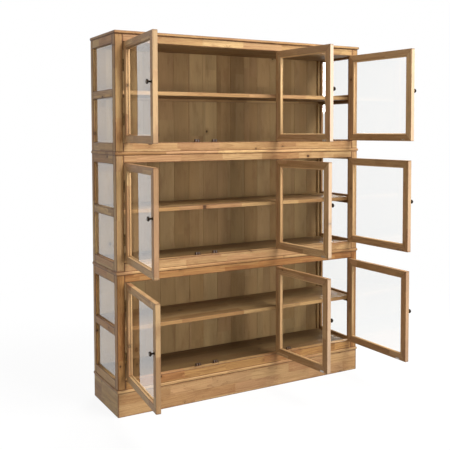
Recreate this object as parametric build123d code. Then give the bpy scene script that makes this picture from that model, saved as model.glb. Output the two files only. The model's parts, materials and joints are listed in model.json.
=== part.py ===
from build123d import *
import os

# Three-tier glazed display cabinet in solid pine. Millimetres, X to the right, Y to the back, Z up.
# The origin is the centre of the plinth's footprint, on the floor. The doors stand open at rest.

# carcass
cabinet_width = 1600.0
cabinet_depth = 390.0
plinth_height = 129.0
plinth_board = 22.0
corner_block = 45.0
tier_names = ("lower", "middle", "upper")
tier_height = 619.0
band_thickness = 16.0
band_overhang = 4.0
top_front_overhang = 8.0
top_side_overhang = 4.0
band_rounding = 5.0
edge_easing = 1.2

# front frame of each tier
post_width = 43.0
post_depth = 40.0
post_rounding = 4.0
mullion_width = 24.0
right_bay_width = 516.0
sill_height = 48.5
head_height = 41.5

# glazed side frames
side_thickness = 22.0
back_stile_width = 33.0
side_bottom_rail = 48.0
side_middle_rail = 42.0
side_middle_height = 290.0
side_top_rail = 47.0

# glass
glass_thickness = 4.0
glass_reveal = 12.0
groove_depth = 7.0
groove_side_play = 0.2
groove_end_play = 1.0

# boards inside each tier
back_board_thickness = 8.0
back_board_count = 16
board_bevel = 1.5
floor_thickness = 16.0
floor_top = 33.0
ceiling_below_top = 41.0
bearer_width = 40.0
bearer_spacing = 640.0
shelf_thickness = 22.0
shelf_top = 326.0
batten = 15.0

# doors
door_thickness = 26.0
door_stile = 37.0
door_rail = 37.0
hinge_side_gap = 2.0
free_side_gap = 3.0
door_end_gap = 2.0
left_open_angles = (95.5, 96.0, 96.0)
middle_open_angles = (95.5, 96.0, 97.0)
right_open_angles = (92.0, 93.0, 95.0)

# lift-off butt hinges
pin_standoff = 4.0
pin_radius = 1.4
pin_reach = 24.0
pin_end_play = 1.5
knuckle_radius = 3.4
running_play = 0.05
knuckle_play = 0.3
hinge_length = 62.0
hinge_from_end = 121.0
leaf_width = 22.0
leaf_thickness = 0.8

# knobs
knob_above_middle = 25.0
knob_foot_radius = 7.0
knob_neck_radius = 4.8
knob_neck_height = 11.0
knob_head_radius = 11.5
knob_flare_height = 17.0
knob_rim_height = 21.5
knob_crown_radius = 7.5
knob_length = 27.0

# magnetic catches
left_catch_from_edge = 66.0
middle_catch_from_edge = 42.0
right_catch_from_edge = 62.0
catch_length = 46.0
catch_body_length = 30.0
catch_depth = 11.5
catch_height = 15.0
catch_foot = 1.6
catch_foot_corner = 3.0
pole_thickness = 1.6
pole_projection = 0.5
strike_length = 32.0
strike_height = 11.0
strike_thickness = 1.2
strike_corner = 2.8
strike_above_foot = 1.2
strike_play = 0.3

# places that follow from the sizes above
half_width = cabinet_width / 2
half_depth = cabinet_depth / 2
front = -half_depth
post_back = front + post_depth
inner_post = half_width - post_width
inner_side = half_width - side_thickness
back_front = half_depth - back_board_thickness
tier_count = len(tier_names)
tier_pitch = tier_height + band_thickness
first_tier = plinth_height + band_thickness
ceiling_underside = tier_height - ceiling_below_top
opening_height = tier_height - sill_height - head_height
head_bottom = tier_height - head_height
mullion_right = inner_post - right_bay_width
mullion_left = mullion_right - mullion_width
wide_door = right_bay_width - hinge_side_gap - free_side_gap
middle_door = mullion_left + inner_post - wide_door - 2 * hinge_side_gap - free_side_gap
door_height = opening_height - 2 * door_end_gap
pin_y = front - pin_standoff
pin_inset = hinge_side_gap / 2
glass_outer = half_width - glass_reveal
glass_bite = groove_depth - groove_end_play
knob_height = door_height / 2 + knob_above_middle
door_face_depth = pin_standoff + door_thickness
strike_face = pin_y + door_face_depth + strike_thickness
shelf_underside = shelf_top - shelf_thickness
board_width = 2 * inner_side / back_board_count


def tier_base(level):
    return first_tier + level * tier_pitch


def block(x0, x1, y0, y1, z0, z1):
    return Pos((x0 + x1) / 2, (y0 + y1) / 2, (z0 + z1) / 2) * Box(abs(x1 - x0), abs(y1 - y0), abs(z1 - z0))


def eased(solid, axis, size=edge_easing):
    return chamfer(solid.edges().filter_by(axis), size)


def mirrored(solid):
    return solid.mirror(Plane.YZ)


def save(name, solids):
    flat = [body for item in solids for body in item.solids()]
    export_step(Compound(children=flat), f"parts/{name}.step")


def prism(points, z0, z1):
    return Pos(0, 0, z0) * extrude(make_face(Polyline(*points, close=True)), z1 - z0)


# plinth

def plinth():
    inner_x = half_width - plinth_board
    inner_y = half_depth - plinth_board
    corners = [(-half_width, -half_depth), (half_width, -half_depth), (half_width, half_depth)]
    corners.append((-half_width, half_depth))
    insides = [(-inner_x, -inner_y), (inner_x, -inner_y), (inner_x, inner_y), (-inner_x, inner_y)]
    solids = []
    for side in range(4):
        after = (side + 1) % 4
        outline = [corners[side], corners[after], insides[after], insides[side]]
        solids.append(prism(outline, 0, plinth_height))
    for sx, sy in ((-1, -1), (1, -1), (1, 1), (-1, 1)):
        x, y = sx * inner_x, sy * inner_y
        outline = [(x, y), (x - sx * corner_block, y), (x, y - sy * corner_block)]
        solids.append(prism(outline, 0, plinth_height))
    solids.append(block(-plinth_board / 2, plinth_board / 2, -inner_y, inner_y, 0, plinth_height))
    return solids


# boards between the tiers, rounded at the front and both ends

def cap_board(z0, front_overhang, side_overhang):
    x = half_width + side_overhang
    board = block(-x, x, front - front_overhang, half_depth, z0, z0 + band_thickness)
    rounded = board.edges().filter_by(lambda edge: edge.center().Y < front) + board.edges().filter_by(Axis.Y)
    vertical = board.edges().filter_by(Axis.Z)
    picked = [edge for edge in rounded if edge not in vertical]
    return fillet(picked, band_rounding)


# glazed side frames, drawn for the left side

def pane_groove(y0, y1, z0, z1):
    outer = -glass_outer - groove_side_play
    inner = -glass_outer + glass_thickness + groove_side_play
    return block(outer, inner, y0, y1, z0, z1)


def side_frame(z):
    stile_front = half_depth - back_stile_width
    top = z + tier_height
    post = block(-half_width, -inner_post, front, post_back, z, top)
    outer_edges = post.edges().filter_by(Axis.Z).sort_by(Axis.X)[:2].sort_by(Axis.Y)
    post = fillet(outer_edges[0], post_rounding)
    inner_edges = post.edges().filter_by(Axis.Z).sort_by(Axis.X)[-2:].sort_by(Axis.Y)
    post = chamfer(inner_edges[0], edge_easing)
    post -= pane_groove(post_back - groove_depth, post_back, z, top)
    stile = block(-half_width, -inner_side, stile_front, half_depth, z, top)
    stile -= pane_groove(stile_front, stile_front + groove_depth, z, top)
    solids = [post, stile]
    middle = z + side_middle_height
    rails = [
        (z, z + side_bottom_rail, False, True),
        (middle, middle + side_middle_rail, True, True),
        (top - side_top_rail, top, True, False),
    ]
    for low, high, below, above in rails:
        rail = block(-half_width, -inner_side, post_back, stile_front, low, high)
        if below:
            rail -= pane_groove(post_back, stile_front, low, low + groove_depth)
        if above:
            rail -= pane_groove(post_back, stile_front, high - groove_depth, high)
        solids.append(rail)
    return solids


def side_panes(z):
    middle = z + side_middle_height
    spans = [
        (z + side_bottom_rail, middle),
        (middle + side_middle_rail, z + tier_height - side_top_rail),
    ]
    y0 = post_back - glass_bite
    y1 = half_depth - back_stile_width + glass_bite
    x0, x1 = -glass_outer, -glass_outer + glass_thickness
    return [block(x0, x1, y0, y1, low - glass_bite, high + glass_bite) for low, high in spans]


# front frame: sill rail, head rail and mullion

def front_frame(z):
    sill = eased(block(-inner_post, inner_post, front, post_back, z, z + sill_height), Axis.X)
    head = eased(block(-inner_post, inner_post, front, post_back, z + head_bottom, z + tier_height), Axis.X)
    mullion = block(mullion_left, mullion_right, front, post_back, z + sill_height, z + head_bottom)
    return [sill, head, eased(mullion, Axis.Z)]


# floor and ceiling boards on their bearers

def floor_and_ceiling(z):
    solids = []
    for low, high in ((z + floor_top - floor_thickness, z + floor_top),
                      (z + ceiling_underside, z + ceiling_underside + floor_thickness)):
        solids.append(block(-inner_side, inner_side, post_back, back_front, low, high))
    for low, high in ((z, z + floor_top - floor_thickness),
                      (z + ceiling_underside + floor_thickness, z + tier_height)):
        for place in (-1, 0, 1):
            x = place * bearer_spacing
            solids.append(block(x - bearer_width / 2, x + bearer_width / 2, post_back, back_front, low, high))
    return solids


# back of upright boards with bevelled joints, and a batten up each back corner

def back_boards(z):
    solids = []
    for number in range(back_board_count):
        x = -inner_side + number * board_width
        board = block(x, x + board_width, back_front, half_depth, z, z + tier_height)
        facing = board.edges().filter_by(Axis.Z).sort_by(Axis.Y)[:2]
        solids.append(chamfer(facing, board_bevel))
    for side in (-1, 1):
        x0, x1 = side * (inner_side - batten), side * inner_side
        solids.append(block(x0, x1, back_front - batten, back_front, z + floor_top, z + ceiling_underside))
    return solids


# one shelf on cleats, notched round the corner battens

def shelf(z):
    board = block(-inner_side, inner_side, post_back, back_front, z + shelf_underside, z + shelf_top)
    board = chamfer(board.edges().filter_by(Axis.X).sort_by(Axis.Y)[:2], edge_easing)
    solids = []
    cleat_low = z + shelf_underside - batten
    cleat_high = z + shelf_underside
    batten_front = back_front - batten
    for side in (-1, 1):
        x0, x1 = side * (inner_side - batten), side * inner_side
        board -= block(x0, x1, batten_front, back_front, z + shelf_underside, z + shelf_top)
        solids.append(block(x0, x1, post_back, batten_front, cleat_low, cleat_high))
    reach = inner_side - batten
    solids.append(block(-reach, reach, batten_front, back_front, cleat_low, cleat_high))
    return [board] + solids


# doors with mitred frames, drawn closed and hinged on the left: the pin is the Z axis, the foot at Z = 0

def door_frame(width):
    near, far = pin_inset, pin_inset + width
    face, back = pin_standoff, door_face_depth
    rail_near, rail_far = near + door_stile, far - door_stile
    inside_low, inside_high = door_rail, door_height - door_rail
    groove_face = face + glass_reveal - groove_side_play
    groove_back = face + glass_reveal + glass_thickness + groove_side_play
    groove = block(rail_near - groove_depth, rail_far + groove_depth, groove_face, groove_back,
                   inside_low - groove_depth, inside_high + groove_depth)
    outer = [(near, 0), (far, 0), (far, door_height), (near, door_height)]
    inner = [(rail_near, inside_low), (rail_far, inside_low), (rail_far, inside_high), (rail_near, inside_high)]
    members = []
    for side in range(4):
        after = (side + 1) % 4
        outline = [outer[side], outer[after], inner[after], inner[side]]
        member = Rot(90, 0, 0) * prism(outline, -back, -face)
        outer_edges = member.edges().sort_by(SortBy.LENGTH)[-2:]
        members.append(chamfer(outer_edges, edge_easing) - groove)
    return members


def door_pane(width):
    near = pin_inset + door_stile - glass_bite
    far = pin_inset + width - door_stile + glass_bite
    face = pin_standoff + glass_reveal
    low, high = door_rail - glass_bite, door_height - door_rail + glass_bite
    return [block(near, far, face, face + glass_thickness, low, high)]


def knob(width):
    profile = Polyline(
        (0, 0),
        (knob_foot_radius, 0),
        (knob_neck_radius, knob_neck_height),
        (knob_head_radius, knob_flare_height),
        (knob_head_radius, knob_rim_height),
        (knob_crown_radius, knob_length),
        (0, knob_length),
        close=True,
    )
    turned = revolve(make_face(profile), Axis.Y)
    x = pin_inset + width - door_stile / 2
    return [Pos(x, pin_standoff, knob_height) * Rot(180, 0, 0) * turned]


# hinge leaves about the pin's axis: the fixed one carries the pin, the door's one drops over it

def leaf_plate(side, cut_low, cut_high):
    inner, outer = side * (pin_inset - leaf_thickness), side * pin_inset
    plate = block(inner, outer, 0, pin_standoff + leaf_width, 0, hinge_length)
    return plate - block(inner, outer, 0, knuckle_radius + knuckle_play, cut_low, cut_high)


def fixed_leaf():
    knuckle_top = (hinge_length - knuckle_play) / 2
    pin_top = knuckle_top + pin_reach
    knuckle = Pos(0, 0, knuckle_top / 2) * Cylinder(knuckle_radius, knuckle_top)
    pin = Pos(0, 0, pin_top / 2) * Cylinder(pin_radius, pin_top)
    return leaf_plate(-1, knuckle_top, hinge_length) + knuckle + pin


def moving_leaf():
    knuckle_foot = (hinge_length + knuckle_play) / 2
    knuckle_length = hinge_length - knuckle_foot
    bore_depth = pin_reach - knuckle_play + pin_end_play
    knuckle = Pos(0, 0, knuckle_foot + knuckle_length / 2) * Cylinder(knuckle_radius, knuckle_length)
    bore = Pos(0, 0, knuckle_foot + bore_depth / 2) * Cylinder(pin_radius + running_play, bore_depth)
    return leaf_plate(1, 0, knuckle_foot) + knuckle - bore


def hinge_places():
    half = hinge_length / 2
    return (hinge_from_end - half, door_height - hinge_from_end - half)


def moving_leaves():
    return [Pos(0, 0, z) * moving_leaf() for z in hinge_places()]


def fixed_leaves():
    return [Pos(0, 0, z) * fixed_leaf() for z in hinge_places()]


def strike(width, from_edge):
    x = pin_inset + width - from_edge
    low, high = strike_above_foot, strike_above_foot + strike_height
    face = door_face_depth
    plate = block(x - strike_length / 2, x + strike_length / 2, face, face + strike_thickness, low, high)
    return [eased(plate, Axis.Y, strike_corner)]


# magnetic catch on the sill: two steel poles in a housing with a screw foot at each end

def catch(x, z):
    magnet_face = strike_face + strike_play + pole_projection
    y1 = magnet_face + catch_depth
    foot_reach, body_reach = catch_length / 2, catch_body_length / 2
    foot = block(x - foot_reach, x + foot_reach, magnet_face, y1, z, z + catch_foot)
    housing = block(x - body_reach, x + body_reach, magnet_face, y1, z, z + catch_height)
    housing = eased(housing, Axis.Z, edge_easing)
    solids = [eased(foot, Axis.Z, catch_foot_corner) + housing]
    for side in (-1, 1):
        px = x + side * body_reach / 2
        solids.append(block(px - pole_thickness / 2, px + pole_thickness / 2,
                            magnet_face - pole_projection, magnet_face, z + catch_foot, z + catch_height))
    return solids


# the three columns of doors: pin place, width, hand, rest angles by tier, catch place

columns = {
    "left": (-inner_post + pin_inset, wide_door, 1, left_open_angles, left_catch_from_edge),
    "middle": (mullion_left - pin_inset, middle_door, -1, middle_open_angles, middle_catch_from_edge),
    "right": (inner_post - pin_inset, wide_door, -1, right_open_angles, right_catch_from_edge),
}


def hang(solids, pin_x, hand, z, angle=0.0):
    seat = Pos(pin_x, pin_y, z) * Rot(0, 0, -hand * angle)
    return [seat * (solid if hand > 0 else mirrored(solid)) for solid in solids]


def main():
    os.makedirs("parts", exist_ok=True)
    joints = [plinth_height + level * tier_pitch for level in range(tier_count + 1)]
    save("plinth", plinth())
    save("tier_boards", [cap_board(z, band_overhang, band_overhang) for z in joints[:-1]])
    save("top_board", [cap_board(joints[-1], top_front_overhang, top_side_overhang)])
    leaves, catches = [], []
    for level, tier in enumerate(tier_names):
        z = tier_base(level)
        frame = side_frame(z)
        panes = side_panes(z)
        save(f"{tier}_side_frames", frame + [mirrored(solid) for solid in frame])
        save(f"{tier}_side_panes", panes + [mirrored(solid) for solid in panes])
        save(f"{tier}_front_frame", front_frame(z))
        save(f"{tier}_floor_and_ceiling", floor_and_ceiling(z))
        save(f"{tier}_back_boards", back_boards(z))
        save(f"{tier}_shelf", shelf(z))
        foot = z + sill_height + door_end_gap
        for column, (pin_x, width, hand, angles, from_edge) in columns.items():
            name = f"{tier}_{column}_door"
            angle = angles[level]
            hardware = moving_leaves() + strike(width, from_edge)
            save(f"{name}_frame", hang(door_frame(width), pin_x, hand, foot, angle))
            save(f"{name}_pane", hang(door_pane(width), pin_x, hand, foot, angle))
            save(f"{name}_knob", hang(knob(width), pin_x, hand, foot, angle))
            save(f"{name}_hardware", hang(hardware, pin_x, hand, foot, angle))
            leaves += hang(fixed_leaves(), pin_x, hand, foot)
            catch_x = pin_x + hand * (pin_inset + width - from_edge)
            catches += catch(catch_x, z + sill_height)
    save("fixed_hinge_leaves", leaves)
    save("catches", catches)
    print("cabinet", cabinet_width, "x", cabinet_depth, "x", joints[-1] + band_thickness)
    print("door widths", wide_door, middle_door, "door height", door_height)
    for column, (pin_x, width, hand, angles, from_edge) in columns.items():
        print(column, "pin", round(pin_x, 3), round(pin_y, 3), "opens", angles)


main()
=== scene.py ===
import json
import math
import random
import bmesh
import bpy
from mathutils import Matrix, Vector


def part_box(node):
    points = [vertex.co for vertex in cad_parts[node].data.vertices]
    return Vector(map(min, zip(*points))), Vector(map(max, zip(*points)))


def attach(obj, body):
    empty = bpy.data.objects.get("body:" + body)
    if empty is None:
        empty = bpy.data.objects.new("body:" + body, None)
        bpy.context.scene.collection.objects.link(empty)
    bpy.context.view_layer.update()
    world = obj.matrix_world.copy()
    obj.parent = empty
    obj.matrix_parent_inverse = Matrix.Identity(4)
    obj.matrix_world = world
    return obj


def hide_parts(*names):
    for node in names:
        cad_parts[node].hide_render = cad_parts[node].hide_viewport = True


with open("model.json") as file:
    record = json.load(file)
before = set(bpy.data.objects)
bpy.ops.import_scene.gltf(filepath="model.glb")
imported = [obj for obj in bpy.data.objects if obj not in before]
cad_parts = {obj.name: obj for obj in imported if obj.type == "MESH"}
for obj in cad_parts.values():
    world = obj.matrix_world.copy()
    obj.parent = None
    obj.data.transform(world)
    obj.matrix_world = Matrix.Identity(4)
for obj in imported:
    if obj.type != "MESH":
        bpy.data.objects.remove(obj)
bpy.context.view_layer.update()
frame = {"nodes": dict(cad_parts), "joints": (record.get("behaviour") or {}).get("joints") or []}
nodes = frame["nodes"]
tiers = ("lower", "middle", "upper")
sides = ("left", "middle", "right")
doors = [f"{tier}_{side}_door" for tier in tiers for side in sides]
print("frame loaded with", len(nodes), "nodes")


# small helpers for node trees

def tone(red, green, blue):
    # a colour as seen on screen, 0 to 255, made linear
    def channel(value):
        value /= 255
        return value / 12.92 if value <= 0.04045 else ((value + 0.055) / 1.055) ** 2.4
    return (channel(red), channel(green), channel(blue), 1.0)


def feed(tree, socket, value):
    if isinstance(value, bpy.types.NodeSocket):
        tree.links.new(value, socket)
    elif value is not None:
        socket.default_value = value


def fill(tree, node, inputs):
    for name, value in inputs.items():
        feed(tree, node.inputs[name], value)


def addNode(tree, kind, inputs=None, **settings):
    node = tree.nodes.new(kind)
    for name, value in settings.items():
        setattr(node, name, value)
    fill(tree, node, inputs or {})
    return node


def sums(tree, operation, first, second=None):
    return addNode(tree, "ShaderNodeMath", {0: first, 1: second}, operation=operation).outputs[0]


def add(tree, first, second):
    return sums(tree, "ADD", first, second)


def subtract(tree, first, second):
    return sums(tree, "SUBTRACT", first, second)


def multiply(tree, first, second):
    return sums(tree, "MULTIPLY", first, second)


def divide(tree, first, second):
    return sums(tree, "DIVIDE", first, second)


def vectors(tree, operation, first, second=None):
    node = addNode(tree, "ShaderNodeVectorMath", {0: first, 1: second}, operation=operation)
    return node.outputs[1] if operation == "LENGTH" else node.outputs[0]


def stretch(tree, place, x, y, z):
    return vectors(tree, "MULTIPLY", place, (x, y, z))


def parted(tree, vector):
    return addNode(tree, "ShaderNodeSeparateXYZ", {0: vector}).outputs


def joined(tree, x=None, y=None, z=None):
    return addNode(tree, "ShaderNodeCombineXYZ", {0: x, 1: y, 2: z}).outputs[0]


def fade(tree, value, low, high, startAt=0.0, endAt=1.0):
    inputs = {"Value": value, "From Min": low, "From Max": high, "To Min": startAt, "To Max": endAt}
    return addNode(tree, "ShaderNodeMapRange", inputs, interpolation_type="SMOOTHSTEP").outputs[0]


def blendColours(tree, factor, first, second, kind="MIX"):
    inputs = {0: factor, 6: first, 7: second}
    return addNode(tree, "ShaderNodeMix", inputs, data_type="RGBA", blend_type=kind).outputs[2]


def layOver(tree, under, mask, share, over):
    return blendColours(tree, multiply(tree, mask, share), under, over)


def shaded(tree, colour, shade):
    return blendColours(tree, 1.0, colour, shade, "MULTIPLY")


def noise(tree, place, scale, detail=2.0, roughness=0.5):
    inputs = {"Vector": place, "Scale": scale, "Detail": detail, "Roughness": roughness}
    return addNode(tree, "ShaderNodeTexNoise", inputs).outputs["Fac"]


def whiteNoise(tree, dimensions, inputs):
    return addNode(tree, "ShaderNodeTexWhiteNoise", inputs, noise_dimensions=dimensions)


def stored(tree, name, output="Fac"):
    return addNode(tree, "ShaderNodeAttribute", attribute_name=name).outputs[output]


def roughen(tree, shader, height, strength, depth):
    bump = addNode(tree, "ShaderNodeBump", {"Height": height, "Strength": strength, "Distance": depth})
    fill(tree, shader, {"Normal": bump.outputs[0]})


def mixSurface(tree, share, first, second, output="Material Output"):
    mix = addNode(tree, "ShaderNodeMixShader", {0: share, 1: first, 2: second})
    fill(tree, tree.nodes[output], {"Surface": mix.outputs[0]})


vectorKind, numberKind, colourKind = "NodeSocketVector", "NodeSocketFloat", "NodeSocketColor"


def startGroup(name, inputs, outputs, kind="ShaderNodeTree"):
    group = bpy.data.node_groups.new(name, kind)
    for way, sockets in (("INPUT", inputs), ("OUTPUT", outputs)):
        for label, socketType in sockets.items():
            group.interface.new_socket(name=label, in_out=way, socket_type=socketType)
    return group, group.nodes.new("NodeGroupInput").outputs, group.nodes.new("NodeGroupOutput")


def useGroup(tree, group, inputs):
    return addNode(tree, "ShaderNodeGroup", inputs, node_tree=group).outputs


# pines: each differs from the carcass's in the values given here, and the first eight go to its grain

carcassLook = {
    "Strip Width": 0.055, "Block Length": 0.26, "Ring Gap": 0.0045, "Ring Strength": 0.45, "Knot Share": 0.42,
    "Block Contrast": 0.95, "Streak Strength": 0.5, "Stain": 0.5, "edge": 0.85, "edgeWidth": 0.0044,
    "shade": (0.915, 0.93, 0.905),
}
pineLook = {
    "carcassPine": {},
    "capPine": {
        "Block Length": 0.32, "Ring Strength": 0.4, "Knot Share": 0.3, "Block Contrast": 0.9,
        "Streak Strength": 0.45, "Stain": 0.4, "edge": 0.3, "edgeWidth": 0.0022,
        "shade": (0.99, 0.985, 0.935),
    },
    # rosyPine: a redder pine for the lower tier's frames; its faces toward the room are painted darker and
    # redder still, a painted shade for the open doors' shadow
    "rosyPine": {
        "Ring Strength": 0.5, "Block Contrast": 0.8, "Stain": 0.6,
        "shade": (0.96, 0.92, 0.87), "front": (0.76, 0.64, 0.49),
    },
    "doorPine": {
        "Strip Width": 0.05, "Block Length": 0.34, "Ring Gap": 0.004, "Ring Strength": 0.4,
        "Knot Share": 0.32, "Block Contrast": 0.75, "Streak Strength": 0.45, "Stain": 0.4, "edge": 0.5,
        # edgeHighlight: the pale colour of a painted highlight along the doors' outer edges
        "edgeWidth": 0.0024, "shade": (0.97, 0.98, 1.03), "edgeHighlight": tone(236, 218, 198),
    },
    # backPinePaintedShade: a greyer pine for the back boards, darkened as painted shade inside the cabinet
    "backPinePaintedShade": {
        "Strip Width": 0.15, "Block Length": 0.9, "Ring Gap": 0.006, "Ring Strength": 0.10,
        "Knot Share": 0.06, "Block Contrast": 0.45, "Streak Strength": 0.08, "Stain": 0.35, "edge": 0.06,
        "edgeWidth": 0.002, "shade": (0.72, 0.76, 0.77),
    },
    # innerPinePaintedShade: the floors inside, darkened as painted shade
    "innerPinePaintedShade": {
        "Strip Width": 0.09, "Block Length": 0.7, "Ring Gap": 0.005, "Ring Strength": 0.3, "Knot Share": 0.08,
        "Block Contrast": 0.5, "Streak Strength": 0.35, "Stain": 0.3, "edge": 0.15, "edgeWidth": 0.002,
        "shade": (0.34, 0.34, 0.33),
    },
    # shelfPinePaintedShade: shelves and ceilings darkened as painted shade inside the cabinet, with a painted
    # highlight on faces toward the room
    "shelfPinePaintedShade": {
        "Strip Width": 0.07, "Block Length": 0.4, "Ring Strength": 0.38, "Knot Share": 0.2,
        "Block Contrast": 0.7, "Streak Strength": 0.4, "Stain": 0.4, "edge": 0.4, "edgeWidth": 0.0022,
        "shade": (0.54, 0.55, 0.55), "front": (0.88, 0.88, 0.85),
    },
    # beadPine: a pale pine, made paler still as a painted highlight on the doors' glazing beads
    "beadPine": {
        "Strip Width": 0.2, "Block Length": 3.0, "Ring Gap": 0.004, "Ring Strength": 0.2, "Knot Share": 0.0,
        "Block Contrast": 0.3, "Streak Strength": 0.25, "Stain": 0.1, "edge": 0.0, "edgeWidth": 0.001,
        "shade": (1.30, 1.36, 1.50),
    },
}
grainInputs = tuple(carcassLook)[:8]
pineTones = {
    "Pale": tone(222, 186, 134), "Middle": tone(200, 160, 108), "Deep": tone(172, 130, 84),
    "Rose": tone(196, 148, 112), "Late Wood": tone(128, 84, 46), "Knot": tone(66, 38, 22),
    "Stain Color": tone(146, 98, 64),
}


# its grain: strips and finger-jointed blocks of different tone, rings, fibres and knots

grainLook = {
    "seedSpread": 7.3, "blockSpread": 9.0, "blockMove": 3.0, "fingerWidth": 0.004, "fingerSlope": 1.6,
    "knotCell": 0.13, "knotDraw": 0.8, "knotSize": 0.0055, "knotSpread": 0.006, "knotRagged": 0.003,
    "knotGrit": 260.0, "knotDetail": 1.0, "knotDark": 0.9, "knotDepth": 0.8, "knotRange": (1.25, 0.85),
    "haloDark": 0.35, "haloPush": 0.009, "haloRange": (3.6, 1.0),
    "middleRange": (0.25, 0.75), "deepRange": (0.55, 1.0), "roseRange": (0.6, 1.0, 0.0, 0.8),
    "boardRange": (0.35, 1.0, 0.0, 0.5), "boardRose": 0.5,
    "pithSide": 0.13, "pithNear": 0.03, "pithSpread": 0.06, "ringBend": 0.034, "lateSharpness": 2.4,
    "lateHeight": 0.5, "lateGloss": -0.10, "fibreDepth": 0.6, "cloudGloss": 0.18,
    "bends": {"along": 2.2, "across": 12.0, "detail": 2.0, "roughness": 0.5},
    "streaks": {"along": 3.0, "across": 90.0, "detail": 3.0, "roughness": 0.6},
    "fibres": {"along": 16.0, "across": 1100.0, "detail": 2.0, "roughness": 0.6},
    "clouds": {"along": 1.6, "across": 7.0, "detail": 3.0, "roughness": 0.55},
    "blotches": {"along": 5.0, "across": 16.0, "detail": 4.0, "roughness": 0.6},
    "streakRange": (0.48, 0.72), "fibreRange": (0.45, 0.8), "blotchRange": (0.5, 0.68),
    "cloudRange": (0.25, 0.75, 0.82, 1.12),
}


def longNoise(tree, place, look):
    # noise drawn out along the grain
    drawn = stretch(tree, place, look["along"], look["across"], look["across"])
    return noise(tree, drawn, 1.0, look["detail"], look["roughness"])


def blockColour(group, source, dice, chance):
    look = grainLook
    middle, deep, rose = source["Middle"], source["Deep"], source["Rose"]
    darker = fade(group, dice.outputs["Value"], *look["middleRange"])
    ground = blendColours(group, darker, source["Pale"], middle)
    ground = blendColours(group, fade(group, chance[0], *look["deepRange"]), ground, deep)
    ground = blendColours(group, fade(group, chance[1], *look["roseRange"]), ground, rose)
    board = whiteNoise(group, "1D", {"W": source["Seed"]}).outputs[0]
    wholeBoard = fade(group, board, *look["boardRange"])
    ground = blendColours(group, wholeBoard, ground, blendColours(group, look["boardRose"], deep, rose))
    return blendColours(group, source["Block Contrast"], middle, ground)


def knotMasks(group, source, moved):
    # few and small knots, right through the board, and the grain that flows round each
    look = grainLook
    drawn = stretch(group, moved, look["knotDraw"], 1.0, 1.0)
    cells = {"Vector": drawn, "Scale": 1 / look["knotCell"]}
    spots = addNode(group, "ShaderNodeTexVoronoi", cells, voronoi_dimensions="2D")
    lucky = parted(group, spots.outputs["Color"])
    allowed = sums(group, "LESS_THAN", lucky[0], source["Knot Share"])
    away = multiply(group, spots.outputs["Distance"], look["knotCell"])
    grit = noise(group, source["Place"], look["knotGrit"], look["knotDetail"])
    ragged = add(group, away, multiply(group, grit, look["knotRagged"]))
    size = add(group, multiply(group, lucky[1], look["knotSpread"]), look["knotSize"])
    knot = fade(group, divide(group, ragged, size), *look["knotRange"])
    halo = fade(group, divide(group, away, size), *look["haloRange"])
    return multiply(group, knot, allowed), multiply(group, halo, allowed)


def lateWood(group, source, chance, moved, halo):
    # rings round a pith outside the board, bent a little and pushed aside by knots
    look = grainLook
    aside = multiply(group, subtract(group, chance[2], 0.5), look["pithSide"])
    deep = add(group, multiply(group, chance[0], look["pithSpread"]), look["pithNear"])
    pith = joined(group, y=aside, z=deep)
    flat = stretch(group, vectors(group, "SUBTRACT", source["Place"], pith), 0.0, 1.0, 1.0)
    bend = multiply(group, longNoise(group, moved, look["bends"]), look["ringBend"])
    radius = add(group, vectors(group, "LENGTH", flat), bend)
    radius = add(group, radius, multiply(group, halo, look["haloPush"]))
    rings = sums(group, "FRACT", divide(group, radius, source["Ring Gap"]))
    return sums(group, "POWER", rings, look["lateSharpness"])


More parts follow.
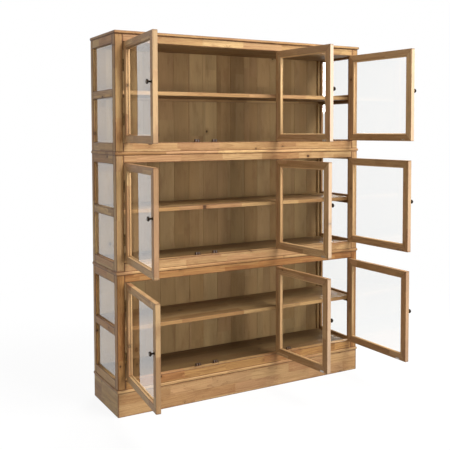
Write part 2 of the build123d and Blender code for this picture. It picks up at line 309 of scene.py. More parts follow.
def buildPineGrain():
    look = grainLook
    wanted = {"Place": vectorKind, **dict.fromkeys(("Seed", *grainInputs), numberKind)}
    wanted.update(dict.fromkeys(pineTones, colourKind))
    given = {"Color": colourKind, "Height": numberKind, "Gloss": numberKind}
    group, source, result = startGroup("pineGrain", wanted, given)
    seed, late, streak = source["Seed"], source["Late Wood"], source["Streak Strength"]

    along, across = parted(group, source["Place"])[:2]
    lane = add(group, divide(group, across, source["Strip Width"]), multiply(group, seed, look["seedSpread"]))
    strip = sums(group, "FLOOR", lane)
    shift = whiteNoise(group, "3D", {"Vector": joined(group, strip, seed)}).outputs[0]
    fingers = sums(group, "PINGPONG", across, look["fingerWidth"])
    reach = add(group, multiply(group, fingers, look["fingerSlope"]), along)
    row = divide(group, reach, source["Block Length"])
    row = add(group, row, multiply(group, shift, look["blockSpread"]))
    block = sums(group, "FLOOR", row)
    dice = whiteNoise(group, "3D", {"Vector": joined(group, block, strip, seed)})
    chance = parted(group, dice.outputs["Color"])
    jump = look["blockMove"]
    moved = vectors(group, "ADD", source["Place"], stretch(group, dice.outputs["Color"], jump, jump, jump))

    knot, halo = knotMasks(group, source, moved)
    rings = lateWood(group, source, chance, moved, halo)
    streaks, fibres, clouds, blotches = (
        longNoise(group, moved, look[name]) for name in ("streaks", "fibres", "clouds", "blotches"))
    wood = layOver(group, blockColour(group, source, dice, chance), rings, source["Ring Strength"], late)
    wood = layOver(group, wood, fade(group, streaks, *look["streakRange"]), streak, late)
    wood = layOver(group, wood, fade(group, fibres, *look["fibreRange"]), streak, late)
    stains = fade(group, blotches, *look["blotchRange"])
    wood = layOver(group, wood, stains, source["Stain"], source["Stain Color"])
    level = fade(group, clouds, *look["cloudRange"])
    grey = addNode(group, "ShaderNodeCombineColor", {0: level, 1: level, 2: level}).outputs[0]
    wood = shaded(group, wood, grey)
    wood = layOver(group, wood, halo, look["haloDark"], late)
    wood = layOver(group, wood, knot, look["knotDark"], source["Knot"])

    raised = multiply(group, rings, look["lateHeight"])
    relief = subtract(group, raised, multiply(group, fibres, look["fibreDepth"]))
    relief = subtract(group, relief, multiply(group, knot, look["knotDepth"]))
    gloss = add(group, multiply(group, rings, look["lateGloss"]), multiply(group, clouds, look["cloudGloss"]))
    fill(group, result, {"Color": wood, "Height": relief, "Gloss": gloss})
    return group


# darkened edges, partly grime and partly painted shade in the joints and creases between boards: how near a
# point is to an edge of its own board, from the board's half sizes

edgeDirtAndShadeLook = {
    "grit": 90.0, "detail": 3.0, "roughness": 0.6, "raggedness": 2.0, "leastWidth": 0.0002,
    "edgeRange": (1.0, 0.3), "endRange": (0.012, 0.0005),
}


def buildEdgeDirtAndShade():
    look = edgeDirtAndShadeLook
    wanted = {"Place": vectorKind, "Half": vectorKind, "Width": numberKind}
    group, source, result = startGroup("edgeDirtAndShade", wanted, {"Edge": numberKind, "End": numberKind})
    fromMiddle = vectors(group, "ABSOLUTE", source["Place"])
    gap = parted(group, vectors(group, "SUBTRACT", source["Half"], fromMiddle))
    low = sums(group, "MINIMUM", gap[0], gap[1])
    high = sums(group, "MAXIMUM", gap[0], gap[1])
    middle = sums(group, "MAXIMUM", low, sums(group, "MINIMUM", high, gap[2]))
    grit = noise(group, source["Place"], look["grit"], look["detail"], look["roughness"])
    rough = multiply(group, grit, multiply(group, source["Width"], look["raggedness"]))
    away = divide(group, middle, add(group, rough, look["leastWidth"]))
    edge = fade(group, away, *look["edgeRange"])
    fill(group, result, {"Edge": edge, "End": fade(group, gap[0], *look["endRange"])})
    return group


# fine uneven spots and scratches for metal

patinaLook = {
    "detail": 5.0, "roughness": 0.65, "spotRange": (0.42, 0.66), "lineDraw": (1.0, 9.0, 0.6),
    "lineScale": 420.0, "lineDetail": 2.0, "lineRoughness": 0.7, "lineRange": (0.55, 0.75),
}


def buildPatina():
    look = patinaLook
    wanted = {"Place": vectorKind, "Scale": numberKind}
    group, source, result = startGroup("patina", wanted, {"Spots": numberKind, "Scratches": numberKind})
    big = noise(group, source["Place"], source["Scale"], look["detail"], look["roughness"])
    drawn = stretch(group, source["Place"], *look["lineDraw"])
    lines = noise(group, drawn, look["lineScale"], look["lineDetail"], look["lineRoughness"])
    spots, scratches = fade(group, big, *look["spotRange"]), fade(group, lines, *look["lineRange"])
    fill(group, result, {"Spots": spots, "Scratches": scratches})
    return group


pineGrain = buildPineGrain()
edgeDirtAndShade = buildEdgeDirtAndShade()
patina = buildPatina()


def startMaterial(name):
    material = bpy.data.materials.new(name)
    material.use_nodes = True
    tree = material.node_tree
    return material, tree, tree.nodes["Principled BSDF"]


waxLook = {
    # dirtAndShade darkens board edges: partly grime, partly painted shade in joints and creases
    "roughness": 0.46, "specular": 0.28, "bump": 0.35, "bumpDepth": 0.0006, "dirtAndShade": tone(96, 62, 38),
    "endDirt": tone(112, 72, 42), "endShare": 0.35, "mitreShare": 0.6, "mitreRange": (0.0020, 0.0006),
    # frontRange: how far a face must turn toward the room to take the painted front tone
    "frontRange": (-0.5, -0.9),
}


def mitreLine(tree, place, half):
    # dark along a mitre, whose mark is 1 or -1 for the side where the board is long
    mitre = stored(tree, "boardMitre")
    along, across = parted(tree, place)[:2]
    halfLong, halfWide = parted(tree, half)[:2]
    fromTip = subtract(tree, halfLong, sums(tree, "ABSOLUTE", along))
    fromEdge = subtract(tree, halfWide, multiply(tree, mitre, across))
    gap = sums(tree, "ABSOLUTE", subtract(tree, fromTip, fromEdge))
    line = fade(tree, gap, *waxLook["mitreRange"])
    return multiply(tree, line, sums(tree, "ABSOLUTE", mitre))


def pineMaterial(name, look):
    material, tree, shader = startMaterial(name)
    place = stored(tree, "boardPlace", "Vector")
    half = stored(tree, "boardHalf", "Vector")
    values = {name: look[name] for name in grainInputs} | pineTones
    grain = useGroup(tree, pineGrain, {"Place": place, "Seed": stored(tree, "boardSeed"), **values})
    edgeMasks = useGroup(tree, edgeDirtAndShade, {"Place": place, "Half": half, "Width": look["edgeWidth"]})
    colour = shaded(tree, grain["Color"], (*look["shade"], 1.0))
    if "front" in look:  # faces toward the room get a painted tone: painted shade on the lower frames, a painted highlight on the shelves
        normal = addNode(tree, "ShaderNodeNewGeometry").outputs["Normal"]
        paintedFrontMask = fade(tree, parted(tree, normal)[1], *waxLook["frontRange"])
        colour = blendColours(tree, paintedFrontMask, colour, shaded(tree, grain["Color"], (*look["front"], 1.0)))
    if "edgeHighlight" in look:  # a painted highlight: a paler colour along a door's outer edges
        colour = blendColours(tree, stored(tree, "boardEdgeHighlight"), colour, look["edgeHighlight"])
    colour = layOver(tree, colour, edgeMasks["End"], waxLook["endShare"], waxLook["endDirt"])
    # board edges darkened: partly grime, partly painted shade in the joints and creases between boards
    colour = layOver(tree, colour, edgeMasks["Edge"], look["edge"], waxLook["dirtAndShade"])
    colour = layOver(tree, colour, mitreLine(tree, place, half), waxLook["mitreShare"], waxLook["dirtAndShade"])
    roughness = add(tree, grain["Gloss"], waxLook["roughness"])
    fill(tree, shader, {
        "Base Color": colour, "Roughness": roughness, "Specular IOR Level": waxLook["specular"]})
    roughen(tree, shader, grain["Height"], waxLook["bump"], waxLook["bumpDepth"])
    return material


commonMetal = {"metallic": 1.0, "spots": 0.7, "roughness": 0.36}
metalLook = {
    "agedBrass": {"dark": tone(72, 54, 34), "bright": tone(176, 142, 88), "roughness": 0.42, "scale": 160.0},
    "darkBronze": {
        "dark": tone(30, 24, 20), "bright": tone(78, 62, 48), "metallic": 0.9, "scale": 140.0, "spots": 0.5,
    },
    "rubbedBronze": {
        "dark": tone(112, 106, 96), "bright": tone(164, 156, 142), "metallic": 0.9, "roughness": 0.3,
        "scale": 140.0, "spots": 0.5,
    },
    "catchPaint": {
        "dark": tone(60, 40, 30), "bright": tone(116, 88, 68), "metallic": 0.5, "scale": 200.0, "spots": 0.5,
    },
    "screwSteel": {
        "dark": tone(120, 108, 92), "bright": tone(206, 196, 180), "roughness": 0.3, "scale": 300.0,
    },
    "brightSteel": {
        "dark": tone(176, 174, 170), "bright": tone(226, 226, 224), "roughness": 0.28, "scale": 240.0,
    },
}
scratchLook = {"share": 0.35, "shine": 0.12, "bump": 0.15, "bumpDepth": 0.0002}


def metalMaterial(name, look):
    material, tree, shader = startMaterial(name)
    place = addNode(tree, "ShaderNodeTexCoord").outputs["Object"]
    marks = useGroup(tree, patina, {"Place": place, "Scale": look["scale"]})
    colour = layOver(tree, look["dark"], marks["Spots"], look["spots"], look["bright"])
    colour = layOver(tree, colour, marks["Scratches"], scratchLook["share"], look["bright"])
    shine = multiply(tree, marks["Scratches"], scratchLook["shine"])
    roughness = subtract(tree, look["roughness"], shine)
    fill(tree, shader, {"Base Color": colour, "Metallic": look["metallic"], "Roughness": roughness})
    roughen(tree, shader, marks["Spots"], scratchLook["bump"], scratchLook["bumpDepth"])
    return material


glassLook = {
    "tint": (0.992, 1.0, 0.996, 1.0), "roughness": 0.0, "ior": 1.52,
    "waves": (2.5, 2.5, 1.5), "waveDetail": 1.0, "bump": 0.05, "bumpDepth": 0.02,
}


def glassMaterial(name, look):
    material, tree, shader = startMaterial(name)
    place = addNode(tree, "ShaderNodeTexCoord").outputs["Object"]
    fill(tree, shader, {
        "Base Color": look["tint"], "Roughness": look["roughness"], "IOR": look["ior"],
        "Transmission Weight": 1.0,
    })
    # slow waves of old sheet glass
    waves = noise(tree, stretch(tree, place, *look["waves"]), 1.0, look["waveDetail"])
    roughen(tree, shader, waves, look["bump"], look["bumpDepth"])
    clear = addNode(tree, "ShaderNodeBsdfTransparent", {"Color": look["tint"]})
    path = addNode(tree, "ShaderNodeLightPath").outputs
    passing = sums(tree, "MAXIMUM", path["Is Shadow Ray"], path["Is Diffuse Ray"])
    mixSurface(tree, passing, shader.outputs[0], clear.outputs[0])
    return material


pines = {name: pineMaterial(name, {**carcassLook, **look}) for name, look in pineLook.items()}
metals = {name: metalMaterial(name, {**commonMetal, **look}) for name, look in metalLook.items()}
paneGlass = glassMaterial("paneGlass", glassLook)
print("materials made")


# small helpers for meshes

def boxOf(points):
    low = Vector([min(point[axis] for point in points) for axis in range(3)])
    high = Vector([max(point[axis] for point in points) for axis in range(3)])
    return low, high


def buildMesh(name, points, polygons, materials):
    mesh = bpy.data.meshes.new(name)
    mesh.from_pydata(points, [], polygons)
    for material in materials:
        mesh.materials.append(material)
    return mesh


def writeNumbers(mesh, name, values):
    mesh.attributes.new(name, "FLOAT", "POINT").data.foreach_set("value", values)


def writeVectors(mesh, name, values):
    flat = [value for row in values for value in row]
    mesh.attributes.new(name, "FLOAT_VECTOR", "POINT").data.foreach_set("vector", flat)


def smooth(mesh, degrees):
    mesh.polygons.foreach_set("use_smooth", [True] * len(mesh.polygons))
    mesh.set_sharp_from_angle(angle=math.radians(degrees))


def meshFrom(work, name):
    mesh = bpy.data.meshes.new(name)
    work.to_mesh(mesh)
    work.free()
    return mesh


def addObject(name, data):
    made = bpy.data.objects.new(name, data)
    bpy.context.scene.collection.objects.link(made)
    return made


def addPiece(name, mesh, body, replaced=None):
    piece = addObject(name, mesh)
    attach(piece, body)
    if replaced:
        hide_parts(replaced)
    return piece


def hingeOf(door):
    return [row for row in frame["joints"] if row["child"] == door][0]


def closingTurn(door):
    # the turn that closes a door, so that its boards lie along the axes
    joint = hingeOf(door)
    pin = Vector(joint["pos_m"])
    angle = math.radians(max(joint["range_deg"], key=abs))
    return Matrix.Translation(pin) @ Matrix.Rotation(angle, 4, "Z") @ Matrix.Translation(-pin)


# a CAD node's loose triangles, sorted into its solids: faces that share an edge belong together

flatAngle, flattenBelow = 0.05, 0.5  # radians and degrees


def swing(face, other, start, end):
    # how far the wood's inside turns from one face to another round their edge
    direction = (Vector(end) - Vector(start)).normalized()
    def inward(corners):
        apex = [corner for corner in corners if corner != start and corner != end][0]
        reach = Vector(apex) - Vector(start)
        return (reach - direction * reach.dot(direction)).normalized()
    a, b, c = (Vector(corner) for corner in face)
    normal = (b - a).cross(c - a).normalized()
    own, turned = inward(face), inward(other)
    angle = math.atan2(turned.dot(-normal), turned.dot(own))
    return angle if angle > flatAngle else angle + 2 * math.pi


def facesBeside(faces):
    # where boards touch along an edge, a face's mate is the first one met inside the wood
    users = {}
    for number, face in enumerate(faces):
        for start, end in zip(face, face[1:] + face[:1]):
            key = (start, end) if start < end else (end, start)
            users.setdefault(key, ([], []))[0 if start < end else 1].append(number)
    mates = [[] for _ in faces]
    for (start, end), (forward, backward) in users.items():
        for number in forward:
            if backward:
                mate = min(backward, key=lambda other: swing(faces[number], faces[other], start, end))
                mates[number].append(mate)
                mates[mate].append(number)
    return mates


def splitSolids(mesh):
    corners = [tuple(round(value, 6) for value in vertex.co) for vertex in mesh.vertices]
    faces = [tuple(corners[index] for index in face.vertices) for face in mesh.polygons]
    faces = [face for face in faces if len(set(face)) == 3]
    mates = facesBeside(faces)
    solids, seen = [], set()
    for first in range(len(faces)):
        if first in seen:
            continue
        seen.add(first)
        group, waiting = [], [first]
        while waiting:
            number = waiting.pop()
            group.append(faces[number])
            for mate in mates[number]:
                if mate not in seen:
                    seen.add(mate)
                    waiting.append(mate)
        solids.append(group)
    return solids


def openSolid(faces):
    work = bmesh.new()
    made = {}
    for face in faces:
        for corner in face:
            if corner not in made:
                made[corner] = work.verts.new(corner)
        work.faces.new([made[corner] for corner in face])
    flat = math.radians(flattenBelow)
    bmesh.ops.dissolve_limit(work, angle_limit=flat, verts=work.verts, edges=work.edges)
    return work


def easeEdges(work, look):
    limit = math.radians(look["sharperThan"])
    outward = [edge for edge in work.edges if edge.is_manifold and edge.is_convex]
    sharp = [edge for edge in outward if edge.calc_face_angle() > limit]
    bmesh.ops.bevel(
        work, geom=sharp, offset=look["edge"], segments=look["segments"], affect="EDGES", clamp_overlap=True)


# wood: each board of a node gets eased edges, and its own place, half sizes and seed for the grain

woodLook = {
    "edge": 0.0006, "segments": 1, "sharperThan": 50.0, "smoothBelow": 34.0, "tipDepth": 0.0015,
    "mitreLean": 0.5, "seedRange": 50.0, "outerWithin": 0.0001,
}
# painted highlight on the doors' outer edges, its strength by side and by tier
edgeHighlightBySide = {"left": 0.08, "middle": 0.6, "right": 0.34}
edgeHighlightByTier = {"lower": 0.45, "middle": 0.6, "upper": 1.0}


def mitreSide(local, middle, half, along, across):
    # 1 or -1 where the board's ends reach out to one side, 0 where they are square
    tip = half[along] - woodLook["tipDepth"]
    tips = [point[across] - middle[across] for point in local if abs(point[along] - middle[along]) > tip]
    lean = sum(tips) / len(tips) / half[across]
    return math.copysign(1.0, lean) if abs(lean) > woodLook["mitreLean"] else 0.0


def dressWood(nodeName, body, material, turn=Matrix.Identity(4), upper=None, split=0.0, edgeHighlight=0.0):
    points, polygons, places, halves, seeds, mitres, edgeHighlights, woods = [], [], [], [], [], [], [], []
    outerLow, outerHigh = boxOf([turn @ vertex.co for vertex in nodes[nodeName].data.vertices])
    back = turn.inverted()
    for faces in splitSolids(nodes[nodeName].data):
        work = openSolid(faces)
        low, high = boxOf([turn @ vertex.co for vertex in work.verts])
        easeEdges(work, woodLook)
        work.verts.index_update()
        for vertex in work.verts:  # a bevel at a mitre's tip stays in the box
            point = turn @ vertex.co
            vertex.co = back @ Vector([min(max(point[axis], low[axis]), high[axis]) for axis in range(3)])
        local = [turn @ vertex.co for vertex in work.verts]
        middle, half = (low + high) / 2, (high - low) / 2
        order = sorted(range(3), key=lambda axis: -half[axis])  # grain runs along the longest side
        dice = random.Random(f"{nodeName} {[round(value, 3) for value in middle]}")
        offset = dice.uniform(0.0, woodLook["seedRange"])
        mitre = mitreSide(local, middle, half, order[0], order[1])
        first = len(points)
        for vertex, point in zip(work.verts, local):
            points.append(vertex.co.copy())
            places.append([(point - middle)[axis] for axis in order])
            halves.append([half[axis] for axis in order])
            seeds.append(offset)
            mitres.append(mitre)
            fromSide = min(point.x - outerLow.x, outerHigh.x - point.x)
            edgeHighlights.append(edgeHighlight if order[0] == 2 and fromSide < woodLook["outerWithin"] else 0.0)
        polygons += [[first + vertex.index for vertex in face.verts] for face in work.faces]
        woods += [1 if upper and middle.z > split else 0] * len(work.faces)
        work.free()
    mesh = buildMesh(nodeName + "_wood", points, polygons, [material, upper] if upper else [material])
    writeVectors(mesh, "boardPlace", places)
    writeVectors(mesh, "boardHalf", halves)
    writeNumbers(mesh, "boardSeed", seeds)
    writeNumbers(mesh, "boardMitre", mitres)
    writeNumbers(mesh, "boardEdgeHighlight", edgeHighlights)
    mesh.polygons.foreach_set("material_index", woods)
    smooth(mesh, woodLook["smoothBelow"])
    piece = addPiece(nodeName + "_wood", mesh, body, nodeName)
    piece.modifiers.new("flatFaces", "WEIGHTED_NORMAL").keep_sharp = True


carcassPine, shelfPinePaintedShade = pines["carcassPine"], pines["shelfPinePaintedShade"]
dressWood("plinth", "carcass", carcassPine)
dressWood("tier_boards", "carcass", pines["capPine"])
dressWood("top_board", "carcass", carcassPine)
for tier in tiers:
    # the lower tier's frames take rosyPine, whose faces toward the room carry a painted shade
    framePine = pines["rosyPine"] if tier == "lower" else carcassPine
    tierPines = {
        "side_frames": framePine, "front_frame": framePine,
        "back_boards": pines["backPinePaintedShade"], "shelf": shelfPinePaintedShade,
    }
    for part, pine in tierPines.items():
        dressWood(f"{tier}_{part}", "carcass", pine)
    # floors take the darkest painted shade; boards above halfway, the ceilings, take the shelves' lighter
    # painted shade
    boards = f"{tier}_floor_and_ceiling"
    low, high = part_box(boards)
    halfway = (low[2] + high[2]) / 2
    dressWood(boards, "carcass", pines["innerPinePaintedShade"], upper=shelfPinePaintedShade, split=halfway)
    for side in sides:
        door = f"{tier}_{side}_door"
        # the painted highlight is strongest on the middle doors and the upper tier
        edgeHighlight = edgeHighlightBySide[side] * edgeHighlightByTier[tier]
        dressWood(door + "_frame", door, pines["doorPine"], closingTurn(door), edgeHighlight=edgeHighlight)
print("wood dressed")


# glazing beads: mitred strips that hold each pane from the inside

beadLook = {
    "bite": 0.006, "inset": 0.00005, "width": 0.0075, "offGlass": 0.0001, "sunk": 0.0008, "flatTo": 0.34,
    "shoulderDrop": 0.001, "shoulderAt": 0.62, "noseAt": 0.86, "noseHeight": 0.45, "lipHeight": 0.2,
    "seedRange": 50.0, "noEdge": 0.05, "smoothBelow": 50.0, "longWall": 0.2,
}


def beadProfile(depth):
    look = beadLook
    wide, near, foot, top = look["width"], look["inset"], look["offGlass"], depth - look["sunk"]
    shoulder = (wide * look["shoulderAt"], top - look["shoulderDrop"])
    nose = (wide * look["noseAt"], depth * look["noseHeight"])
    lip = (wide, depth * look["lipHeight"])
    return [(near, foot), (near, top), (wide * look["flatTo"], top), shoulder, nose, lip, (wide, foot)]


def buildBeads(name, body, windows, material):
    points, polygons, places, halves, seeds = [], [], [], [], []
    dice = random.Random(name)
    far = beadLook["noEdge"]
    for corners, inward, depth in windows:
        outline = beadProfile(depth)
        count = len(outline)
        for side in range(4):
            start, end = corners[side], corners[(side + 1) % 4]
            run = (end - start).normalized()
            across = (corners[(side + 2) % 4] - end).normalized()
            length = (end - start).length
            offset = dice.uniform(0.0, beadLook["seedRange"])
            first = len(points)
            for here, way in ((start, 1), (end, -1)):
                for inset, rise in outline:
                    points.append(here + run * (way * inset) + across * inset + inward * rise)
                    places.append((way * (inset - length / 2), inset, rise))
                    halves.append((length / 2 + far, far, far))
                    seeds.append(offset)
            for index in range(count):
                after = (index + 1) % count
                polygons.append([first + index, first + after, first + count + after, first + count + index])
            polygons.append([first + index for index in reversed(range(count))])
            polygons.append([first + count + index for index in range(count)])
    mesh = buildMesh(name, points, polygons, [material])
    writeVectors(mesh, "boardPlace", places)
    writeVectors(mesh, "boardHalf", halves)
    writeNumbers(mesh, "boardSeed", seeds)
    work = bmesh.new()
    work.from_mesh(mesh)
    bmesh.ops.recalc_face_normals(work, faces=work.faces)
    work.to_mesh(mesh)
    work.free()
    smooth(mesh, beadLook["smoothBelow"])
    addPiece(name, mesh, body)


def boxesOf(nodeName, turn=Matrix.Identity(4)):
    solids = splitSolids(nodes[nodeName].data)
    return [boxOf([turn @ Vector(corner) for face in faces for corner in face]) for faces in solids]


def daylight(low, high, axis):
    # the corners of a pane inside its grooves
    bite = beadLook["bite"]
    left, right, foot, top = low[axis] + bite, high[axis] - bite, low.z + bite, high.z - bite
    return [(left, foot), (right, foot), (right, top), (left, top)]


def doorWindow(door):
    turn = closingTurn(door)
    back = turn.inverted()
    low, high = boxesOf(door + "_pane", turn)[0]
    inner = max((turn @ vertex.co).y for vertex in nodes[door + "_frame"].data.vertices)
    corners = [back @ Vector((x, high.y, z)) for x, z in daylight(low, high, 0)]
    return corners, back.to_3x3() @ Vector((0, 1, 0)), inner - high.y


def sideWindow(low, high, frames):
    hand = 1 if low.x > 0 else -1
    glassIn = low.x if hand > 0 else high.x
    walls = [box for box in frames if box[0].x * hand > 0 and box[1].y - box[0].y > beadLook["longWall"]]
    wallIn = min(box[0].x if hand > 0 else -box[1].x for box in walls)
    corners = [Vector((glassIn, y, z)) for y, z in daylight(low, high, 1)]
    return corners, Vector((-hand, 0, 0)), abs(glassIn) - wallIn


for tier in tiers:
    for side in sides:
        door = f"{tier}_{side}_door"
        buildBeads(door + "_glazing_beads", door, [doorWindow(door)], pines["beadPine"])
    frames = boxesOf(f"{tier}_side_frames")
    windows = [sideWindow(low, high, frames) for low, high in boxesOf(f"{tier}_side_panes")]
    buildBeads(f"{tier}_side_glazing_beads", "carcass", windows, carcassPine)
print("glazing beads set")


# glass keeps its CAD shape

def setMaterial(nodeName, material):
    mesh = nodes[nodeName].data
    if len(mesh.materials) == 0:
        mesh.materials.append(material)
    for index in range(len(mesh.materials)):
        mesh.materials[index] = material


for nodeName in [f"{tier}_side_panes" for tier in tiers] + [door + "_pane" for door in doors]:
    setMaterial(nodeName, paneGlass)


# hinges, strike plates and catches: stamped parts with softened edges, each solid in its own metal

fittingLook = {
    "edge": 0.00022, "segments": 2, "merge": 0.000012, "sharperThan": 60.0, "smoothBelow": 40.0,
    "smallerThan": 0.03,
}


def dressFitting(nodeName, body, largeMetal, smallMetal, axis, turn=Matrix.Identity(4)):
    look = fittingLook
    points, polygons, metalOf, boxes = [], [], [], []
    for faces in splitSolids(nodes[nodeName].data):
        work = openSolid(faces)
        easeEdges(work, look)
        bmesh.ops.remove_doubles(work, verts=work.verts, dist=look["merge"])
        bmesh.ops.dissolve_degenerate(work, dist=look["merge"], edges=work.edges)
        work.verts.index_update()
        low, high = boxOf([turn @ vertex.co for vertex in work.verts])
        boxes.append((low, high))
        first = len(points)
        points += [vertex.co.copy() for vertex in work.verts]
        polygons += [[first + vertex.index for vertex in face.verts] for face in work.faces]
        small = (high - low)[axis] < look["smallerThan"]
        metalOf += [1 if small else 0] * len(work.faces)
        work.free()
    mesh = buildMesh(nodeName + "_fitting", points, polygons, [largeMetal, smallMetal])
    mesh.polygons.foreach_set("material_index", metalOf)
    smooth(mesh, look["smoothBelow"])
    addPiece(nodeName + "_fitting", mesh, body, nodeName)
    return boxes


agedBrass, brightSteel = metals["agedBrass"], metals["brightSteel"]
doorFittings = {}
for door in doors:
    doorFittings[door] = dressFitting(
        door + "_hardware", door, agedBrass, brightSteel, 2, closingTurn(door))
fixedLeaves = dressFitting("fixed_hinge_leaves", "carcass", agedBrass, agedBrass, 2)
catchBoxes = dressFitting("catches", "carcass", metals["catchPaint"], brightSteel, 0)
print("fittings dressed")


# turned knobs: in neck, head and face, each pair is a share of that radius and a share of the knob's length

knobLook = {
    "facets": 40, "collarRadius": 0.0078, "collarHeight": 0.0022, "neckRadius": 0.0044, "headRadius": 0.0119,
    "faceRadius": 0.0082, "faceHeight": 0.975, "lip": 0.0006, "dish": 0.0005,
    "collar": ((1.0, 0.6), (0.93, 1.0)), "neckFoot": (1.15, 1.35),
    "neck": ((1.0, 0.22), (0.98, 0.36), (1.25, 0.46)),
    "head": (
        (0.62, 0.55), (0.86, 0.61), (0.97, 0.67), (1.0, 0.74), (0.985, 0.81), (0.93, 0.88), (0.84, 0.94),
    ),
    "face": ((0.6, 0.985), (0.25, 0.998)), "rubbedFrom": 0.95, "merge": 0.00002, "smoothBelow": 50.0,
}


def knobProfile(length):
    look = knobLook
    collar, rise, face = look["collarRadius"], look["collarHeight"], look["faceRadius"]
    outline = [(0.0, 0.0), (collar, 0.0)]
    outline += [(collar * radius, rise * height) for radius, height in look["collar"]]
    outline.append((look["neckRadius"] * look["neckFoot"][0], rise * look["neckFoot"][1]))
    outline += [(look["neckRadius"] * radius, length * height) for radius, height in look["neck"]]
    outline += [(look["headRadius"] * radius, length * height) for radius, height in look["head"]]
    outline.append((face + look["lip"], length * look["faceHeight"]))
    outline.append((face, length * look["faceHeight"] - look["dish"]))
    outline += [(face * radius, length * height) for radius, height in look["face"]]
    return outline + [(0.0, length)]


def buildKnob(door):
    look = knobLook
    turn = closingTurn(door)
    low, high = boxOf([turn @ vertex.co for vertex in nodes[door + "_knob"].data.vertices])
    length = high.y - low.y
    seat = Vector(((low.x + high.x) / 2, high.y, (low.z + high.z) / 2))
    work = bmesh.new()
    chain = [work.verts.new(seat + Vector((radius, -height, 0))) for radius, height in knobProfile(length)]
    chain += [work.edges.new(pair) for pair in zip(chain, chain[1:])]
    bmesh.ops.spin(
        work, geom=chain, cent=seat, axis=(0, 1, 0), angle=math.tau, steps=look["facets"], use_merge=True)
    bmesh.ops.remove_doubles(work, verts=work.verts, dist=look["merge"])
    bmesh.ops.recalc_face_normals(work, faces=work.faces)
    for face in work.faces:  # the flat face is rubbed brighter
        middle = face.calc_center_median() - seat
        if -middle.y > length * look["rubbedFrom"] and math.hypot(middle.x, middle.z) < look["faceRadius"]:
            face.material_index = 1
    bmesh.ops.transform(work, matrix=turn.inverted(), verts=work.verts)
    mesh = meshFrom(work, door + "_turned_knob")
    mesh.materials.append(metals["darkBronze"])
    mesh.materials.append(metals["rubbedBronze"])
    smooth(mesh, look["smoothBelow"])
    addPiece(door + "_turned_knob", mesh, door, door + "_knob")


for door in doors:
    buildKnob(door)
print("knobs turned")


# wood screws, set by Geometry Nodes on points that carry the way each screw faces

screwLook = {
    "radius": 0.0034, "proud": 0.00012, "slotWidth": 0.0008, "slotDepth": 0.0005, "flare": 1.02,
    "sink": 0.00005, "discThickness": 0.0002, "moonPoints": 9, "discPoints": 16, "headSize": 1.0,
}


def addPrism(work, outline, top, base, flare=1.0):
    upper = [work.verts.new((x, y, top)) for x, y in outline]
    lower = [work.verts.new((x * flare, y * flare, base)) for x, y in outline]
    work.faces.new(upper)
    work.faces.new(lower[::-1])
    for index in range(len(outline)):
        after = (index + 1) % len(outline)
        work.faces.new((upper[index], lower[index], lower[after], upper[after]))


def buildScrewHead():
    look = screwLook
    radius, wide, floor = look["radius"], look["radius"] * look["flare"], -look["slotDepth"]
    moonPoints, discPoints = look["moonPoints"], look["discPoints"]
    limit = math.acos(look["slotWidth"] / 2 / radius)
    work = bmesh.new()
    for side in (1, -1):  # two half moons beside the slot
        turns = [-limit + 2 * limit * step / (moonPoints - 1) for step in range(moonPoints)]
        moon = [(side * radius * math.cos(angle), side * radius * math.sin(angle)) for angle in turns]
        addPrism(work, moon, look["proud"], floor - look["sink"], look["flare"])
    turns = [math.tau * step / discPoints for step in range(discPoints)]
    disc = [(wide * math.cos(angle), wide * math.sin(angle)) for angle in turns]
    addPrism(work, disc, floor, floor - look["discThickness"])  # the disc at the bottom of the slot
    bmesh.ops.recalc_face_normals(work, faces=work.faces)
    return bpy.data.objects.new("screwHead", meshFrom(work, "screwHead"))


def buildScrewTree(head):
    shape = {"Geometry": "NodeSocketGeometry"}
    wanted = {**shape, "Head Size": numberKind, "Seed": "NodeSocketInt", "Finish": "NodeSocketMaterial"}
    tree, source, result = startGroup("setScrews", wanted, shape, "GeometryNodeTree")
    named = "GeometryNodeInputNamedAttribute"
    facing = addNode(tree, named, {"Name": "facing"}, data_type="FLOAT_VECTOR").outputs[0]
    size = addNode(tree, named, {"Name": "size"}, data_type="FLOAT").outputs[0]
    aim = addNode(tree, "FunctionNodeAlignRotationToVector", {"Vector": facing}, axis="Z").outputs[0]
    halfTurn = {"Seed": source["Seed"], 3: math.pi}
    chance = addNode(tree, "FunctionNodeRandomValue", halfTurn, data_type="FLOAT").outputs[1]
    spin = {0: aim, 1: joined(tree, z=chance)}
    turned = addNode(tree, "FunctionNodeRotateRotation", spin, rotation_space="LOCAL").outputs[0]
    placed = addNode(tree, "GeometryNodeInstanceOnPoints", {
        "Points": source["Geometry"], "Rotation": turned, "Scale": multiply(tree, size, source["Head Size"]),
        "Instance": addNode(tree, "GeometryNodeObjectInfo", {"Object": head}).outputs["Geometry"],
    }).outputs[0]
    real = addNode(tree, "GeometryNodeRealizeInstances", {"Geometry": placed}).outputs[0]
    finish = {"Geometry": real, "Material": source["Finish"]}
    fill(tree, result, {"Geometry": addNode(tree, "GeometryNodeSetMaterial", finish).outputs[0]})
    return tree


screwHead = buildScrewHead()
screwTree = buildScrewTree(screwHead)


def setScrews(name, body, spots):
    cloud = buildMesh(name + "Points", [spot for spot, facing, size in spots], [], [])
    writeVectors(cloud, "facing", [facing for spot, facing, size in spots])
    writeNumbers(cloud, "size", [size for spot, facing, size in spots])
    holder = addObject(name + "Points", cloud)
    modifier = holder.modifiers.new("screws", "NODES")
    modifier.node_group = screwTree
    values = {"Head Size": screwLook["headSize"], "Seed": len(spots), "Finish": metals["screwSteel"]}
    for label, value in values.items():
        modifier[screwTree.interface.items_tree[label].identifier] = value
    bpy.context.view_layer.update()
    mesh = bpy.data.meshes.new_from_object(holder.evaluated_get(bpy.context.evaluated_depsgraph_get()))
    bpy.data.objects.remove(holder)
    mesh.name = name
    addPiece(name, mesh, body)


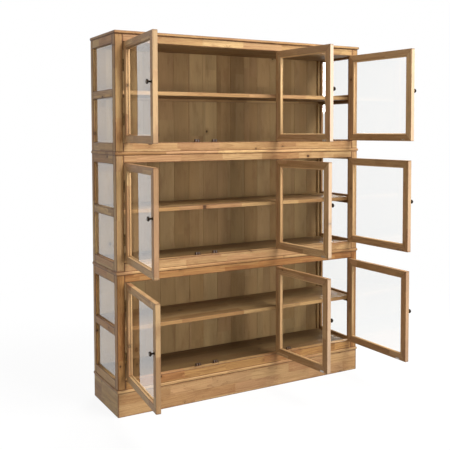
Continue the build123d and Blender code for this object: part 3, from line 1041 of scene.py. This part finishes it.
screwPlaces = {
    "leafRows": ((0.009, -0.003), (0.031, 0.003), (0.053, -0.003)), "fromLeafEdge": 0.010, "leafFace": 0.0002,
    "leafSize": 1.0, "strikeReach": 0.011, "strikeSize": 0.7, "footReach": 0.019, "footRise": 0.0016,
    "footSize": 0.75, "longerThan": 0.03, "pinWithin": 0.01, "doorWithin": 0.3,
}


def leafSpots(low, high, faceX, facing, turn):
    look = screwPlaces
    outward = turn.to_3x3() @ Vector((facing, 0, 0))
    y = high.y - look["fromLeafEdge"]
    places = [Vector((faceX, y + aside, low.z + rise)) for rise, aside in look["leafRows"]]
    return [(turn @ place, outward, look["leafSize"]) for place in places]


def doorSpots(door, pin, hand):
    look = screwPlaces
    back = closingTurn(door).inverted()
    spots = []
    for low, high in doorFittings[door]:
        if high.z - low.z > look["longerThan"]:  # a hinge leaf
            spots += leafSpots(low, high, pin.x + hand * look["leafFace"], -hand, back)
        else:  # the strike plate
            middle = (low + high) / 2
            for reach in (-look["strikeReach"], look["strikeReach"]):
                spot = back @ Vector((middle.x + reach, high.y, middle.z))
                spots.append((spot, back.to_3x3() @ Vector((0, 1, 0)), look["strikeSize"]))
    return spots


def postSpots(pin, hand):
    look = screwPlaces
    spots = []
    for low, high in fixedLeaves:
        middle = (low + high) / 2
        if abs(middle.x - pin.x) < look["pinWithin"] and abs(middle.z - pin.z) < look["doorWithin"]:
            spots += leafSpots(low, high, pin.x - hand * look["leafFace"], hand, Matrix.Identity(4))
    return spots


def catchSpots():
    look = screwPlaces
    spots = []
    for low, high in catchBoxes:
        if high.x - low.x > look["longerThan"]:
            middle = (low + high) / 2
            for side in (-1, 1):
                spot = Vector((middle.x + side * look["footReach"], middle.y, low.z + look["footRise"]))
                spots.append((spot, Vector((0, 0, 1)), look["footSize"]))
    return spots


carcassSpots = []
for door in doors:
    pin = Vector(hingeOf(door)["pos_m"])
    hand = 1 if "_left_" in door else -1
    setScrews(door + "_screws", door, doorSpots(door, pin, hand))
    carcassSpots += postSpots(pin, hand)
carcassSpots += catchSpots()
setScrews("carcass_screws", "carcass", carcassSpots)
bpy.data.objects.remove(screwHead)
print("screws set:", len(carcassSpots), "in the carcass")


# studio: a pale floor, a white world and soft lamps; "mirrored" lamps show in glass and metal

stageLook = {
    "floorSize": 60.0, "floorRoughness": 0.9, "floorGlow": 0.9, "glowFrom": 1.2, "glowTo": 3.2,
    "floorBounce": 0.22, "world": (0.95, 0.97, 1.0), "worldStrength": 0.28,
}
commonLamp = {"aim": 1.0, "size": 2.0, "tint": (0.97, 0.98, 1.0), "mirrored": False}
lampLook = {
    "keyLamp": {
        "place": (1.6, -3.0, 5.2), "size": 3.0, "power": 372.0, "tint": (1.0, 0.97, 0.93), "mirrored": True,
    },
    "fillLamp": {"place": (1.2, -6.0, 1.2), "power": 140.0},
    "sideLamp": {"place": (-4.0, -2.9, 3.3), "aim": 1.2, "power": 48.0, "tint": (1.0, 0.98, 0.95)},
    "backLamp": {"place": (2.6, 4.6, 3.0), "size": 2.6, "power": 260.0},
}
white = (1, 1, 1, 1)


def seenRays(tree):
    path = addNode(tree, "ShaderNodeLightPath").outputs
    mirrored = sums(tree, "MAXIMUM", path["Is Glossy Ray"], path["Is Transmission Ray"])
    return sums(tree, "MAXIMUM", path["Is Camera Ray"], mirrored)


def buildFloor():
    look = stageLook
    size = look["floorSize"] / 2
    material, tree, shader = startMaterial("floorWhite")
    glow = addNode(tree, "ShaderNodeEmission", {"Color": white, "Strength": 1.0})
    seen = seenRays(tree)
    bounce = look["floorBounce"]
    ground = blendColours(tree, seen, (bounce, bounce, bounce, 1.0), white)
    fill(tree, shader, {"Base Color": ground, "Roughness": look["floorRoughness"]})
    away = vectors(tree, "LENGTH", addNode(tree, "ShaderNodeTexCoord").outputs["Object"])
    glowing = fade(tree, away, look["glowFrom"], look["glowTo"], look["floorGlow"])  # as white as the world
    mixSurface(tree, multiply(tree, seen, glowing), shader.outputs[0], glow.outputs[0])
    corners = [(-size, -size, 0), (size, -size, 0), (size, size, 0), (-size, size, 0)]
    mesh = buildMesh("studioFloor", corners, [(0, 1, 2, 3)], [material])
    addObject("studioFloor", mesh)


def buildWorld():
    world = bpy.data.worlds.new("studioWorld")
    world.use_nodes = True
    tree = world.node_tree
    soft = tree.nodes["Background"]
    fill(tree, soft, {"Color": (*stageLook["world"], 1.0), "Strength": stageLook["worldStrength"]})
    bright = addNode(tree, "ShaderNodeBackground", {"Color": white, "Strength": 1.0})
    mixSurface(tree, seenRays(tree), soft.outputs[0], bright.outputs[0], "World Output")
    bpy.context.scene.world = world


def addLamp(name, look):
    lamp = bpy.data.lights.new(name, "AREA")
    lamp.shape = "SQUARE"
    lamp.size = look["size"]
    lamp.energy = look["power"]
    lamp.color = look["tint"]
    holder = addObject(name, lamp)
    holder.location = look["place"]
    aimed = Vector((0, 0, look["aim"])) - Vector(look["place"])
    holder.rotation_euler = aimed.to_track_quat("-Z", "Y").to_euler()
    holder.visible_glossy = look["mirrored"]


buildFloor()
buildWorld()
for name, look in lampLook.items():
    addLamp(name, {**commonLamp, **look})


# camera, fitted to the cabinet's corners in the photograph, with no more shift than the framing needs

cameraLook = {
    "place": (-2.1073, -3.8011, 1.5233), "yaw": 29.9165, "pitch": -2.7857, "roll": 0.0927,
    "focal": 57.8852, "sensor": 36.0, "shiftX": -0.0399, "shiftY": -0.13, "farthest": 100.0,
}


def buildCamera():
    look = cameraLook
    lens = bpy.data.cameras.new("photoCamera")
    lens.sensor_width = look["sensor"]
    lens.sensor_fit = "HORIZONTAL"
    lens.lens = look["focal"]
    lens.shift_x = look["shiftX"]
    lens.shift_y = look["shiftY"]
    lens.clip_end = look["farthest"]
    lens.dof.use_dof = False
    camera = addObject("photoCamera", lens)
    camera.location = look["place"]
    turns = (90 + look["pitch"], look["roll"], -look["yaw"])
    camera.rotation_euler = [math.radians(turn) for turn in turns]
    bpy.context.scene.camera = camera


buildCamera()
bpy.context.scene.view_settings.view_transform = "Standard"
print("studio and camera ready")
